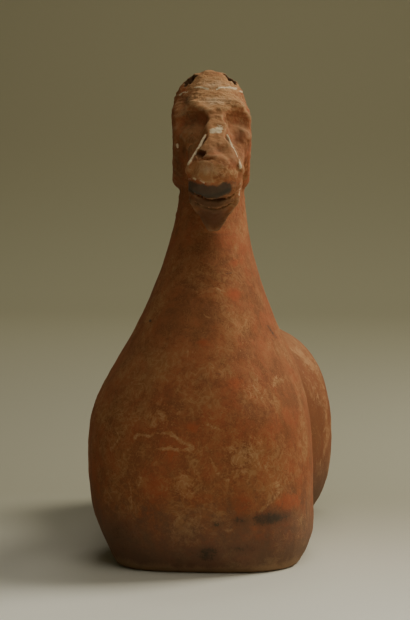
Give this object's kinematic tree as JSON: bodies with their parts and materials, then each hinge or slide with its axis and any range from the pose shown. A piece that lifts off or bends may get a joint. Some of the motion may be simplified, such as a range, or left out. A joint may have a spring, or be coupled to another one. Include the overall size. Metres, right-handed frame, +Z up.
{
  "type": "tomb horse figure",
  "caption": "Legless fired-clay tomb horse with a tall tapering neck, broad breast and low body, resting on its own underside, with empty sockets for the lost ears, tail and legs.",
  "frame": {"origin": "on the floor, under the middle of the figure's box", "axes": "+Z up, the horse looks along -Y, +X is the viewer's right in the picture"},
  "size_m": [0.25, 0.5774, 0.5405],
  "materials": {
    "fired_clay": "matte"
  },
  "bodies": {
    "root": {"horse": "fired_clay"}
  },
  "joints": []
}
